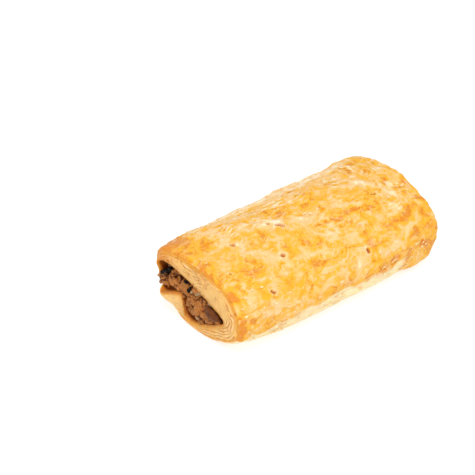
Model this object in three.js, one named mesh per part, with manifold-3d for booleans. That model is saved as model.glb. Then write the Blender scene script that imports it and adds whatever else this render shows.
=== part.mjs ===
// Savory pastry roll: puff pastry wrapped round minced filling, baked, and open at both ends.
// Millimetres, +Z up. X runs along the roll from the near mouth (-X) to the far mouth (+X), the
// front of the roll faces -Y, and the flat underside rests on z = 0 with the origin at its middle.
import * as THREE from "three";
import { ParametricGeometry } from "three/addons/geometries/ParametricGeometry.js";
import { mergeVertices } from "three/addons/utils/BufferGeometryUtils.js";
import Module from "manifold-3d";

const wasm = await Module();
wasm.setup();

// ---- Driving dimensions, in millimetres ----

const LENGTH = 140; // crust edge to crust edge
const FRONT = { near: 39.4, middle: 40.7, far: 35 }; // how far the crust reaches to the front, along -Y
const BACK = { near: 30.2, middle: 40.1, far: 43.4 }; // and to the back
const HEIGHT = { near: 40.2, middle: 40.6, far: 37 };
const WIDEST_AT = { near: 0.4, middle: 0.44, far: 0.55 }; // height of the widest line, as a share
const TOP_POWER = { near: 3.3, middle: 1.95, far: 1.95 }; // superellipse power above the widest line
const BASE_POWER = { near: 1.7, middle: 3.2, far: 3 }; // and below it
const END_REACH = 0.35; // share of the length over which a mouth's section blends into the middle one
const SUNK = 1.5; // how far the section would reach under the tray, which makes the flat base
const EDGE_RADIUS = 1.8; // rounding of the crust where it turns into a mouth
const FAR_SLANT = 0.07; // slope of the far mouth, which was cut a little askew

const SEAM_Y = 11; // where the outer layer of pastry ends under the roll
const SEAM_LIFT = 1.2; // height of the inner layer above the tray behind that seam
const HEEL_LIFT = 1.5; // extra rise of the underside at the back of the near mouth

const BORE = { middleY: 0.6, halfWidth: 26, middleZ: 18, slope: 0.06 }; // line the bore is built on
const ROOF = { height: 8.4, lean: 4.2, power: 0.4 }; // roof over that line, higher at the back by lean
const FLOOR_DEPTH = 13.4; // floor under that line
const FLAP = { startY: 4, fullY: 7.2, top: 16.8, slope: 0.38 }; // inner flap of dough on the floor
const FLAP_OUT = 2.6; // how far the flap stands out of a mouth
const BORE_WAIST = 0.06; // share by which the bore is narrower in the middle of the roll
const BACK_NOTCH = 4.5; // how far the rim is set back where the filling reaches the back of a mouth

const RIM_BULGE = 1.2; // swelling of the cut layers on a rim
const LAYER_RIDGE = 0.45; // height of a layer's ridge on a rim
const BLISTER = 0.5; // height of the broad blisters on the crust

const PRICK = { radius: 1.1, depth: 3.6, sides: 6 };
const PRICK_STEP = 0.02; // how far round a prick, in either parameter, the slope of the crust is taken
const PRICKS = [
  // along X, then the angle round the section in degrees, with 0 at the back and 90 on top
  [-45, 91],
  [-60, 111],
  [-28, 121],
  [-15, 95],
  [-46, 148],
  [17, 152],
  [43, 106],
  [-36, 52],
  [6, 60],
  [38, 44],
];

const WALL_GAP = 0.4; // between filling and pastry
const ROOF_GAP = 3; // left at a mouth where the filling has shrunk from the roof
const CORE_GAP = 0.4; // further in from the wall, so that the lumps stand out of the smooth core
const CORE_SET_BACK = 2; // how far inside a mouth the smooth core ends
const LUMP = { smallest: 1.7, largest: 5.4, rounded: 3.4 }; // radii, and the least with a rounder form
const LUMP_COLUMNS = 12; // across a mouth
const LUMP_RISE = 5.4; // height that each row of lumps takes
const LUMP_DEPTH = { front: 0.6, back: -1.6 }; // how far inside a mouth the lumps end
const SEED = 24;

// ---- How finely each surface is divided ----

const AROUND = 56;
const SKIN_RINGS = 22;
const RIM_RINGS = 7;
const BORE_RINGS = 8;
const CORE_RINGS = 3;

// ---- Small helpers ----

const clamp01 = (v) => Math.min(Math.max(v, 0), 1);
const mix = (a, b, share) => a + (b - a) * share;
const radians = (degrees) => (degrees * Math.PI) / 180;

function smoothstep(low, high, v) {
  const s = clamp01((v - low) / (high - low));
  return s * s * (3 - 2 * s);
}

// A bump of height 1 at `centre` degrees, falling off on both sides over `spread` degrees.
function bump(angle, centre, spread, power = 2) {
  const turn = Math.atan2(Math.sin(angle - radians(centre)), Math.cos(angle - radians(centre)));
  return Math.exp(-(Math.abs(turn / radians(spread)) ** power));
}

// A repeatable stream of numbers from 0 to 1.
function randomStream(seed) {
  let state = seed;
  return () => {
    state = (state * 1664525 + 1013904223) % 4294967296;
    return state / 4294967296;
  };
}

// ---- The pastry ----

// 1 at the near mouth, falling to 0 over END_REACH. nearness(1 - t) is the same for the far mouth.
const nearness = (t) => Math.max(1 - t / END_REACH, 0) ** 2;

// Values that change along the roll: the near, middle and far ones, blended over END_REACH.
function alongRoll(values, t) {
  const { near, middle, far } = values;
  return middle + nearness(t) * (near - middle) + nearness(1 - t) * (far - middle);
}

// The section of the crust as a superellipse, in shares of its half width and half height.
function sectionShares(t, angle) {
  const power = alongRoll(Math.sin(angle) > 0 ? TOP_POWER : BASE_POWER, t);
  const share = (v) => Math.sign(v) * Math.abs(v) ** (2 / power);
  return { across: share(Math.cos(angle)), up: share(Math.sin(angle)) };
}

// How far the crust stands out: long blisters that fade out towards the underside.
function blisters(x, angle, up) {
  const broad = Math.sin(x / 8.5 + 1.3 * Math.sin(2 * angle)) * Math.sin(3 * angle + 0.7);
  const narrow = Math.sin(x / 4.3 + 4 * angle) * 0.5;
  return BLISTER * (broad + narrow) * smoothstep(-0.75, -0.2, up);
}

// A point of the crust, t from 0 at the near mouth to 1 at the far one. `inset` draws the section in.
function skinPoint(t, angle, inset = 0) {
  const { across, up } = sectionShares(t, angle);
  const height = alongRoll(HEIGHT, t);
  const widest = height * alongRoll(WIDEST_AT, t);
  const out = blisters(LENGTH * t, angle, up) - inset;
  const y = across * (alongRoll(across > 0 ? BACK : FRONT, t) + out);
  const z = widest + up * (up > 0 ? height - widest + out : widest + SUNK - inset);
  const heel = HEEL_LIFT * nearness(t) * clamp01(across) ** 2 * clamp01(-up);
  const seam = SEAM_LIFT * smoothstep(SEAM_Y - 1, SEAM_Y + 2, y) * clamp01(-2 * up);
  return new THREE.Vector3(mouthX(t, angle, y), y, Math.max(z, 0) + heel + seam);
}

// Where a ring lies along X: the mouths follow a notch at the back, and the far one is slanted.
function mouthX(t, angle, y) {
  const notch = BACK_NOTCH * bump(angle, 0, 15);
  return LENGTH * (t - 0.5) + notch * (nearness(t) ** 2 - nearness(1 - t) ** 2) + FAR_SLANT * t * y;
}

// A point of the bore that holds the filling. `gap` draws it in on all sides, and `shrunk` lowers
// the roof.
function borePoint(t, angle, gap = 0, shrunk = 0) {
  const across = Math.cos(angle);
  const up = Math.sin(angle);
  const waist = 1 - BORE_WAIST * Math.sin(Math.PI * t);
  const y = BORE.middleY + (BORE.halfWidth * waist - gap) * across;
  const line = BORE.middleZ + BORE.slope * (y - BORE.middleY);
  const x = mouthX(t, angle, y);
  if (up >= 0) {
    const roof = (ROOF.height + ROOF.lean * across) * up ** ROOF.power * waist;
    return new THREE.Vector3(x, y, line + Math.max(roof - (gap + shrunk) * up ** ROOF.power, 0));
  }
  const depth = FLOOR_DEPTH * (across > 0 ? Math.sqrt(-up) : 1 - Math.abs(across) ** 1.5) * waist;
  const flapTop = FLAP.top - FLAP.slope * (y - FLAP.fullY);
  const flap = flapTop * smoothstep(FLAP.startY - 2 * gap, FLAP.fullY - 2 * gap, y);
  return new THREE.Vector3(x, y, Math.min(Math.max(line - depth, flap) + gap, line));
}

// How far the flap of dough stands out of a mouth.
const flapOut = (angle) => FLAP_OUT * bump(angle, -48, 24, 4);

// A point of a mouth's rim, ring from 0 at the crust to RIM_RINGS at the bore. `out` is -1 near, 1 far.
function rimPoint(t, angle, ring, out) {
  const share = ring / RIM_RINGS;
  const ridge = ring % 2 === 1 && ring < RIM_RINGS ? LAYER_RIDGE : 0;
  const swell = RIM_BULGE * Math.sin(Math.PI * share) + ridge;
  const point = skinPoint(t, angle, EDGE_RADIUS).lerp(borePoint(t, angle), share);
  point.x += out * (swell + flapOut(angle) * smoothstep(0.1, 0.6, share));
  return point;
}

// The crust between its rounded edges.
function crustPoint(ring, angle) {
  const edge = EDGE_RADIUS / LENGTH;
  return skinPoint(mix(edge, 1 - edge, (ring - 1) / (SKIN_RINGS - 2)), angle);
}

// The whole skin of the pastry is one closed sheet. Round it goes the angle, and along it a loop of
// four stretches: the crust from near to far, the far rim, the bore from far to near, the near rim.
function pastryPoint(loop, angle) {
  const farRim = SKIN_RINGS;
  const bore = farRim + RIM_RINGS;
  const nearRim = bore + BORE_RINGS;
  if (loop > 0 && loop < farRim) return crustPoint(loop, angle);
  if (loop >= farRim && loop <= bore) return rimPoint(1, angle, loop - farRim, 1);
  if (loop > bore && loop < nearRim) return borePoint(1 - (loop - bore) / BORE_RINGS, angle);
  return rimPoint(0, angle, loop === 0 ? 0 : RIM_RINGS - (loop - nearRim), -1);
}

const LOOP = SKIN_RINGS + 2 * RIM_RINGS + BORE_RINGS;

function pastryGeometry() {
  const surface = (u, v, target) => {
    const angle = (2 * Math.PI * (Math.round(u * AROUND) % AROUND)) / AROUND;
    target.copy(pastryPoint(Math.round(v * LOOP) % LOOP, angle));
  };
  return new ParametricGeometry(surface, AROUND, LOOP);
}

// ---- Closed meshes as solids, to join and cut ----

function asSolid(geometry) {
  const bare = geometry.clone();
  bare.deleteAttribute("normal");
  bare.deleteAttribute("uv");
  const merged = mergeVertices(bare, 1e-4);
  return new wasm.Manifold(
    new wasm.Mesh({
      numProp: 3,
      vertProperties: new Float32Array(merged.attributes.position.array),
      triVerts: new Uint32Array(merged.index.array),
    }),
  );
}

function asGeometry(solid) {
  const mesh = solid.getMesh();
  const geometry = new THREE.BufferGeometry();
  geometry.setAttribute("position", new THREE.BufferAttribute(mesh.vertProperties, 3));
  geometry.setIndex(new THREE.BufferAttribute(mesh.triVerts, 1));
  return geometry;
}

// A pricked hole: a narrow pit that stands square on the crust.
function prickSolid([x, degrees]) {
  const angle = radians(degrees);
  const t = x / LENGTH + 0.5;
  const along = skinPoint(t + PRICK_STEP, angle).sub(skinPoint(t - PRICK_STEP, angle));
  const round = skinPoint(t, angle + PRICK_STEP).sub(skinPoint(t, angle - PRICK_STEP));
  const outward = along.cross(round).normalize();
  // The cone is half as large again as the pit, because its wide end stands clear of the crust.
  const cone = new THREE.ConeGeometry(PRICK.radius * 1.5, PRICK.depth * 1.5, PRICK.sides);
  cone.rotateX(Math.PI);
  cone.translate(0, PRICK.depth * -0.25, 0);
  cone.applyQuaternion(new THREE.Quaternion().setFromUnitVectors(new THREE.Vector3(0, 1, 0), outward));
  const foot = skinPoint(t, angle);
  cone.translate(foot.x, foot.y, foot.z);
  return asSolid(cone);
}

// ---- The filling ----

// The smooth core: a closed log with the bore's section, drawn in all round, with a lowered roof and
// with its ends set back inside the mouths.
function coreSolid() {
  const gap = WALL_GAP + CORE_GAP;
  const reach = CORE_SET_BACK / LENGTH;
  const surface = (u, v, target) => {
    const ring = Math.round(v * (CORE_RINGS + 2));
    const angle = (2 * Math.PI * (Math.round(u * AROUND) % AROUND)) / AROUND;
    const t = mix(reach, 1 - reach, clamp01((ring - 1) / CORE_RINGS));
    const middle = borePoint(t, 0, gap, ROOF_GAP).lerp(borePoint(t, Math.PI, gap, ROOF_GAP), 0.5);
    const onCap = ring === 0 || ring === CORE_RINGS + 2;
    target.copy(onCap ? middle : borePoint(t, angle, gap, ROOF_GAP));
  };
  return asSolid(new ParametricGeometry(surface, AROUND, CORE_RINGS + 2));
}

// The room round a point of a mouth's opening: its distance from the nearest stretch of the bore.
function roomInMouth(t, point) {
  const room = [];
  for (let step = 0; step < AROUND; step += 1) {
    const start = borePoint(t, (2 * Math.PI * step) / AROUND).setX(point.x);
    const end = borePoint(t, (2 * Math.PI * (step + 1)) / AROUND).setX(point.x);
    const nearest = new THREE.Line3(start, end).closestPointToPoint(point, true, new THREE.Vector3());
    room.push(nearest.distanceTo(point));
  }
  return Math.min(...room);
}

// A lump of mince: a ball of few sides, squeezed and turned at random.
function lumpSolid(random, radius, middle) {
  const lump = new THREE.IcosahedronGeometry(radius, radius > LUMP.rounded ? 1 : 0);
  const turn = new THREE.Euler(random() * Math.PI, random() * Math.PI, random() * Math.PI);
  lump.scale(mix(0.85, 1, random()), 1, mix(0.8, 1, random()));
  lump.applyQuaternion(new THREE.Quaternion().setFromEuler(turn));
  lump.translate(middle.x, middle.y, middle.z);
  return asSolid(lump);
}

// The lumps that show in one mouth, in columns across its opening. `out` is -1 near and 1 far. They
// stand furthest out at the back. One that has too little room is made smaller or left out.
function mouthLumps(t, out, random) {
  const lumps = [];
  for (let column = 0; column < LUMP_COLUMNS; column += 1) {
    const across = mix(-0.88, 0.88, column / (LUMP_COLUMNS - 1));
    const roof = borePoint(t, Math.acos(across), 0, ROOF_GAP);
    const floor = borePoint(t, -Math.acos(across));
    const rows = Math.max(Math.round((roof.z - floor.z) / LUMP_RISE), 1);
    for (let row = 0; row < rows; row += 1) {
      const middle = floor.clone().lerp(roof, (row + mix(0.4, 0.6, random())) / rows);
      const largest = Math.min(roomInMouth(t, middle) - WALL_GAP, LUMP.largest);
      const radius = mix(0.82, 1, random()) * largest;
      const setBack = mix(LUMP_DEPTH.front, LUMP_DEPTH.back, clamp01(0.5 + 0.6 * across));
      middle.x = out * (LENGTH / 2 - setBack - 0.7 * radius - random());
      if (radius > LUMP.smallest) lumps.push(lumpSolid(random, radius, middle));
    }
  }
  return lumps;
}

function fillingSolid() {
  const random = randomStream(SEED);
  const lumps = [...mouthLumps(0, -1, random), ...mouthLumps(1, 1, random)];
  const heap = lumps.reduce((solid, lump) => solid.add(lump), coreSolid());
  // The largest closed skin is the heap itself: hollows sealed between lumps and loose scraps go.
  return heap.decompose().reduce((a, b) => (b.volume() > a.volume() ? b : a));
}

// ---- The part ----

const materials = {
  crust: new THREE.MeshStandardMaterial({ color: 0xf3bd6b, roughness: 0.5, metalness: 0 }),
  mince: new THREE.MeshStandardMaterial({ color: 0x7c4a26, roughness: 0.6, metalness: 0 }),
};

function part(name, solid, material) {
  const mesh = new THREE.Mesh(asGeometry(solid), material);
  mesh.name = name;
  return mesh;
}

function pastrySolid() {
  return PRICKS.map(prickSolid).reduce((solid, pit) => solid.subtract(pit), asSolid(pastryGeometry()));
}

const roll = new THREE.Group();
roll.add(part("pastry", pastrySolid(), materials.crust));
roll.add(part("filling", fillingSolid(), materials.mince));

// The origin goes to the middle of the underside.
const box = new THREE.Box3().setFromObject(roll);
const middle = box.getCenter(new THREE.Vector3());
roll.position.set(-middle.x, -middle.y, -box.min.z);

export default roll;
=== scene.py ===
"""Savory pastry roll: baked crust, layered rims and minced filling, on a plain pale stage.

The roll is a sheet of puff pastry wrapped round a minced filling and open at both ends. Every
surface is worked out in millimetres by whole-array functions of two parameters. The roll lies along
X, its near mouth towards -X and its front towards -Y, and to_mesh() makes metres of millimetres.
"""
import itertools

import bpy
import numpy as np
from bpy.props import FloatProperty, FloatVectorProperty, IntProperty, PointerProperty
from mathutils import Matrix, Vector


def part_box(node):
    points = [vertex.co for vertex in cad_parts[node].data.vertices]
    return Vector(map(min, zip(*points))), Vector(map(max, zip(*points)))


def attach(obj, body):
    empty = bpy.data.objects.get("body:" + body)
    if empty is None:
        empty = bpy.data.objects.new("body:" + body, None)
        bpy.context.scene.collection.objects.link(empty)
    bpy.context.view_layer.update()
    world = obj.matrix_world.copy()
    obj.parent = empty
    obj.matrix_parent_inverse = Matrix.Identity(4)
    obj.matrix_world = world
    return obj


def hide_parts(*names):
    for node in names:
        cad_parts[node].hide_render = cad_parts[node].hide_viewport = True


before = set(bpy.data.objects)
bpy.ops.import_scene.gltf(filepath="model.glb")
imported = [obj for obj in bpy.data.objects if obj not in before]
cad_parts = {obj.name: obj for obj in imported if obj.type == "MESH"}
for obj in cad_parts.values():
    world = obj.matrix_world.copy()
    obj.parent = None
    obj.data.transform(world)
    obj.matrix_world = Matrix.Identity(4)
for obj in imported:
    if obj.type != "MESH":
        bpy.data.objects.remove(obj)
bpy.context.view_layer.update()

bl_info = {
    "name": "Savory Pastry Roll",
    "version": (1, 0, 0),
    "blender": (4, 5, 0),
    "location": "3D View > Sidebar > Pastry Roll",
    "description": "Builds a baked puff pastry roll with a minced filling, and a plain stage for it",
    "category": "Add Mesh",
}

MM = 0.001
BODY = "root"

# ---- Form: lengths in millimetres, and shares that the sidebar leaves alone ----

# At the near mouth, the middle and the far mouth
WIDEST_AT = (0.40, 0.44, 0.55)  # share of the height where the roll is widest
TOP_POWER = (3.3, 1.95, 1.95)  # powers of the superellipse above and below that height
BASE_POWER = (1.7, 3.2, 3.0)
END_REACH = 0.35  # share of the length over which each end takes its own form

SUNK = 1.5  # how far the base would reach under the tray, which cuts it flat
EDGE_RADIUS = 1.8
FAR_SLANT = 0.07
SEAM_Y = 11.0
SEAM_LIFT = 1.2
HEEL_LIFT = 1.5
BORE_Y = 0.6
BORE_Z = 18.0
BORE_SLOPE = 0.06
BORE_WAIST = 0.06
ROOF_LEAN = 4.2
ROOF_POWER = 0.4
FLAP_AT = -48  # degrees round the mouth
FLAP_START = 4.0
FLAP_FULL = 7.2
FLAP_TOP = 16.8
FLAP_SLOPE = 0.38
FLAP_OUT = 2.6
FLAP_ROUND = 1.6
FLAP_WAVE = (0.5, 3.0)  # height and length of the waves across it
BACK_NOTCH = 4.5
NOTCH_AT = -12.0  # degrees round the mouth
NOTCH_SPREAD = 13
RIM_BULGE = 1.2
BROAD_SWELLING = 8.5  # length of one radian of a long swelling
NARROW_SWELLING = 4.3
PROUD_BELOW = (3.5, 2.2, 0)  # how far relief may stand out of the solid's box
PROUD_ABOVE = (3.5, 2.2, 1.15)
TRAY_SKIN = 0.02  # what is lower than this lies flat on the tray
LAYER_PITCH = 2.1
STRIP_TOP = 14.6  # height of the unglazed strip's upper edge

# Rows and columns of the crust's grid
AROUND = 320
CRUST_ROWS = 218
EDGE_ROWS = 4
RIM_ROWS = 27
BORE_ROWS = 18

# ---- Marks of the oven on the crust ----

BAKED = 0.5  # browning of the whole crust, to which the marks add
BROWNEST = 0.75  # browning above which marks add less and less
MARK_SHADE = 0.8
CRUST_INNER = 99  # distance to the filling that stands for none, on the crust

# A place is (mm along X, degrees round from the back)

# Width in mm, height in mm, browning, and the path of each fold, hollow, blister or patch. Raised folds and
# blisters are given less browning and sunk hollows more: a painted highlight and painted shade besides the
# browned patches
MARKS = (
    (1.2, 0.5, -0.45, ((-6, 92), (-2, 98), (6, 103), (17, 102), (26, 104), (31, 108))),
    (1.5, -0.3, 0.45, ((-1, 109), (8, 112), (15, 113), (24, 110), (32, 111))),
    (0.7, -0.4, 0.6, ((18, 46), (21, 49), (23, 56), (25, 62))),
    (0.9, 0.4, -0.35, ((23, 35), (30, 38), (32, 54), (34, 68))),
    (4.6, 0.7, 0.3, ((13, 73),)),
    (1.9, -0.1, 0.5, ((13, 82),)),
    (2.4, -0.1, 0.4, ((7, 84),)),
    (1.2, -0.2, 0.5, ((11, 96),)),
    (1.7, -0.3, 0.45, ((50, 80), (51, 88))),
    (2.0, -0.2, 0.35, ((50, 64),)),
    (0.9, 0.4, -0.35, ((42, 81), (45, 90), (49, 99), (53, 104))),
    (0.8, 0.3, -0.3, ((29, 112), (33, 110), (36, 112), (38, 118))),
    (0.7, -0.2, 0.3, ((30, 115), (32, 115), (34, 117))),
    (2.6, 0.0, 0.45, ((52, 135), (49, 138))),
    (1.5, 0.0, 0.5, ((63, 125), (65, 130))),
    (2.0, 0.0, 0.3, ((59, 132),)),
    (1.0, 0.3, -0.35, ((54, 138), (47, 150), (43, 159))),
    (2.5, 0.1, -0.3, ((22, 126), (25, 128))),
    (2.3, -0.1, 0.4, ((34, 149), (38, 151))),
    (3.2, -0.2, 0.5, ((31, 173),)),
    (3.0, -0.2, 0.4, ((24, 180),)),
    (2.8, -0.1, 0.6, ((56, 182),)),
    (3.6, 0.3, -0.3, ((36, 161),)),
    (2.4, -0.1, 0.35, ((-14, 138), (-9, 135))),
    (1.9, -0.1, 0.4, ((-22, 146),)),
    (2.5, -0.1, 0.35, ((-34, 150),)),
    (3.0, 0.0, 0.3, ((-13, 120),)),
    (4.5, 0.2, -0.3, ((1, 124),)),
    (1.1, 0.35, -0.3, ((-26, 128), (-16, 133), (-7, 132), (1, 130))),
    (2.5, 0.0, 0.25, ((3, 134),)),
    (2.4, 0.0, 0.3, ((21, 138),)),
    (3.0, 0.0, 0.3, ((-8, 170),)),
    (2.2, 0.0, 0.3, ((42, 176),)),
    (2.3, 0.8, -0.6, ((-24, 86), (-18, 86), (-14, 91))),
    (3.0, -0.3, 0.6, ((-27, 98),)),
    (2.4, 0.0, 0.3, ((-19, 63),)),
    (3.4, 0.0, 0.25, ((-7, 84),)),
    (2.2, 0.0, 0.35, ((-46, 82),)),
    (0.9, 0.35, -0.35, ((-43, 75), (-47, 86), (-53, 91))),
    (3.6, 0.0, 0.4, ((-69, 95),)),
    (2.6, 0.0, 0.35, ((-68, 86),)),
    (2.6, 0.0, 0.45, ((-68, 135),)),
    (0.9, 0.4, -0.3, ((-70, 118), (-64, 119), (-59, 126), (-59, 135))),
    (0.9, -0.2, 0.35, ((-70, 120), (-65, 122), (-61, 129), (-60, 138))),
    (1.8, -0.1, 0.4, ((-59, 121),)),
    (1.5, -0.1, 0.35, ((-51, 122),)),
    (3.6, 0.0, 0.2, ((-35, 124),)),
    (2.1, 0.0, 0.45, ((-31, 144),)),
    (0.8, -0.5, 0.3, ((-23, 116), (-21, 114), (-20, 116))),
    (0.7, 0.3, -0.3, ((-46, 110), (-42, 107), (-41, 111), (-43, 116))),
    (3.6, 0.1, -0.3, ((-46, 162),)),
    (3.6, 0.1, -0.15, ((-58, 157),)),
    (2.2, 0.0, 0.3, ((-62, 172),)),
    (2.4, 0.0, 0.45, ((-70, 200), (-69, 178))),
    (3.6, 0.0, 0.5, ((-61, 39),)),
    (2.2, 0.0, 0.35, ((-44, 52), (-34, 51), (-26, 56))),
    (0.8, 0.3, -0.35, ((-49, 64), (-50, 76), (-54, 80))),
    (3.0, 0.0, 0.3, ((8, 60),)),
    (8.5, 0.0, -0.3, ((-41, 100), (-36, 116))),
    (5.0, 0.0, -0.2, ((-8, 98), (-3, 102))),
    (4.0, 0.0, -0.2, ((8, 150), (14, 153))),
    (5.0, 0.0, 0.25, ((28, 78), (36, 80))),
    (4.0, 0.0, 0.2, ((20, 122), (26, 126))),
    (6.0, 0.0, 0.15, ((34, 108), (46, 112))),
    (2.5, 0.0, 0.35, ((22, 172), (34, 178))),
    (3.5, 0.0, 0.2, ((-29, 134),)),
)

# Width in mm, height in mm and path of each broad swell and hollow that shows in the outline
SWELLS = (
    (6.5, 1.4, ((13, 38), (20, 36))),
    (6.5, -1.2, ((-26, 53), (-16, 50))),
    (5.0, -0.7, ((29, 52), (32, 52))),
    (6.0, 1.0, ((56, 34), (62, 38))),
    (5.0, 1.1, ((66, 83), (66.5, 93))),
    (5.0, 0.9, ((66, 137), (64.3, 163))),
    (6.5, 2.3, ((49, 208), (58, 207))),
)

# Bubbles torn open in the near rim: y, z, radius and depth in mm, and painted shade inside
RIM_CELLS = (
    (-3.6, 37.2, 1.1, 0.3, 0.0), (-6.9, 36.4, 1.4, 0.4, 0.0), (-10.4, 36.8, 1.3, 0.4, 0.0),
    (-8.6, 33.4, 1.4, 0.4, 0.0), (-13.4, 35.4, 1.3, 0.3, 0.0), (-4.8, 33.4, 1.0, 0.3, 0.0),
    (-12.6, 32.2, 1.1, 0.3, 0.0), (17.3, 37.4, 0.7, 0.8, 0.8), (10.7, 36.8, 0.6, 0.7, 0.5),
    (7.4, 36.2, 0.6, 0.7, 0.5), (17.5, 31.5, 0.7, 0.8, 0.7), (-2.1, 27.6, 0.8, 1.2, 0.9),
    (-4.5, 26.4, 0.7, 1.2, 0.9), (-10.9, 26.0, 0.8, 1.2, 0.8), (-7.6, 26.2, 0.6, 1.0, 0.6),
    (-31.0, 33.5, 0.8, 0.8, 0.5), (-35.2, 28.0, 0.8, 0.8, 0.5),
)

# Pricked holes, each as a radius in mm and the path it was torn along
PRICKS = (
    (1.0, ((-45, 91), (-44.4, 92))),
    (0.8, ((-60, 111),)),
    (1.15, ((-28, 121), (-27.4, 121.5))),
    (0.7, ((-16.5, 93), (-13.5, 97))),
    (0.75, ((-46.9, 147), (-46.2, 149), (-45.2, 150))),
    (1.0, ((17, 151), (17, 153.5))),
    (0.6, ((42.2, 105), (43.2, 106), (44.2, 106))),
    (0.8, ((-36, 52),)),
    (0.9, ((6, 60),)),
    (0.9, ((38, 44),)),
)

# ---- Stage: lengths in metres ----

FLOOR_HALF = 3.0
FLOOR_GLOW = 0.76  # keeps the floor white under a lamp that leaves the crust golden
LAMP_SIZE = 0.6
LAMP_PLACE = (-0.28, -0.4, 1.05)
SENSOR_WIDTH = 36  # mm
NEAREST_SEEN = 0.01


# ---- What a user would change ----

def linear(red, green, blue):
    """Scene-linear colour of an sRGB colour given from 0 to 255."""
    share = np.array((red, green, blue)) / 255
    return tuple(np.where(share <= 0.04045, share / 12.92, ((share + 0.055) / 1.055) ** 2.4).tolist())


def colour(name, description, *byte_values):
    """An sRGB colour from 0 to 255 as a property."""
    return FloatVectorProperty(
        name=name, description=description, subtype="COLOR", size=3, min=0, max=1,
        default=linear(*byte_values),
    )


def amount(name, description, default, **settings):
    """A number as a property."""
    return FloatProperty(name=name, description=description, default=default, **settings)


def whole_number(name, description, default):
    """A whole number as a property, from 0 up."""
    return IntProperty(name=name, description=description, default=default, min=0)


def size(name, description, millimetres):
    """A length in millimetres as a property."""
    return amount(name, description, millimetres * MM, subtype="DISTANCE", unit="LENGTH", precision=4)


def three_sizes(name, description, *millimetres):
    """Three lengths in millimetres as a property."""
    return FloatVectorProperty(
        name=name, description=description, subtype="XYZ", unit="LENGTH", size=3, precision=4,
        default=[value * MM for value in millimetres],
    )


def sizes_along(name, *millimetres):
    """A length at three places along the roll as a property."""
    return three_sizes(name, f"{name} at the near mouth, the middle and the far mouth", *millimetres)


class RollForm(bpy.types.PropertyGroup):
    length: size("Length", "Length of the roll from mouth to mouth", 140)
    front: sizes_along("Front reach", 39.4, 40.7, 35)
    back: sizes_along("Back reach", 30.2, 40.1, 43.4)
    height: sizes_along("Height", 40.2, 40.6, 37)
    bore_half_width: size("Bore half width", "Half the width of the hollow for the filling", 26)
    roof_height: size("Roof height", "Height of the hollow above its middle line", 8.4)
    floor_depth: size("Floor depth", "Depth of the hollow under its middle line", 13.4)
    blister: size("Long swellings", "Height of the long swellings of the crust", 0.5)
    relief: amount("Relief", "Strength of the folds and blisters", 1.1, min=0, max=1.5)


class CrustLook(bpy.types.PropertyGroup):
    # Cream is the palest crust, and also the painted highlight on raised folds, web, wrinkle ridges and
    # layer crests
    cream_and_painted_highlight: colour("Cream", "Raised folds that stay pale", 252, 229, 194)
    gold: colour("Gold", "Most of the crust", 241, 196, 132)
    orange: colour("Deep gold", "Browned hollows and patches", 239, 176, 40)
    brown: colour("Brown", "Edges of the mouths and the deepest browning", 222, 138, 30)
    strip: colour("Unglazed strip", "Lower front edge that the glaze missed", 250, 228, 178)
    underside: colour("Underside", "Side that lay on the tray", 222, 158, 84)
    # Holes: browned dough and painted shade inside the holes, the bubbles and the hollow
    holes_brown_and_shade: colour("Holes", "Inside of the pricked holes", 186, 100, 36)
    layer: colour("Layers", "Cut or torn layers of a mouth", 242, 192, 114)
    # Between layers: browned gaps, and painted shade in them and in the bubble cells
    layer_shade: colour("Between layers", "Gaps between the layers of a mouth", 206, 120, 34)
    # Soaked dough next to the filling, which also serves as painted shade on the flap beside it
    soaked_dough_and_shade: colour("Soaked dough", "Dough next to the filling", 220, 152, 60)
    flap: colour("Flap", "Soft unbaked end of the sheet inside a mouth", 238, 196, 128)
    flakes: whole_number("Flakes", "Number of loose flakes", 64)
    seed: whole_number("Seed", "Seed of everything that is scattered", 24)


class FillingLook(bpy.types.PropertyGroup):
    mince: colour("Mince", "Most of the minced meat", 98, 47, 12)
    # The light mince is also the painted highlight on swellings, the dark mince the painted shade in pits,
    # gaps and the core
    mince_light_and_highlight: colour("Light mince", "Palest lumps of minced meat", 198, 126, 60)
    mince_dark_and_shade: colour("Dark mince", "Darkest lumps and hollows of the filling", 26, 11, 5)
    onion: colour("Onion", "Cooked onion", 222, 196, 150)
    dark: colour("Dark bits", "Scorched bits and herbs", 24, 17, 13)
    orange: colour("Carrot bits", "Carrot and pepper", 190, 98, 40)
    slice: colour("Brown slice", "Smooth slice in the near mouth", 90, 46, 8)
    lumps: whole_number("Lumps", "Lumps of mince scattered in each mouth", 44)
    crumbs: whole_number("Crumbs", "Crumbs of mince scattered in each mouth", 110)


class StageLook(bpy.types.PropertyGroup):
    azimuth: amount("Azimuth", "Turn of the camera round the roll, in degrees", -39.04)
    elevation: amount("Elevation", "Height of the camera as an angle, in degrees", 34.38)
    distance: size("Distance", "From the camera to the point it looks at", 990)
    aim: three_sizes("Aim point", "Point on the floor that the camera looks at", -2.48, 46.5, 0)
    lens: amount("Lens", "Focal length in mm for a sensor 36 mm wide", 138.09)
    surround: amount("Surround", "Brightness of the plain surround", 0.63, min=0)
    lamp: amount("Lamp", "Power of the soft lamp", 9.2, min=0, unit="POWER")
    floor: colour("Floor", "Colour of the floor", 165, 165, 165)


# ---- Arithmetic on whole arrays ----

def smoothstep(low, high, value):
    """An S curve from 0 at low to 1 at high: 3 s squared minus 2 s cubed, where s is the share between."""
    share = np.clip((value - low) / (high - low), 0, 1)
    return share * share * (3 - 2 * share)


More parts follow.
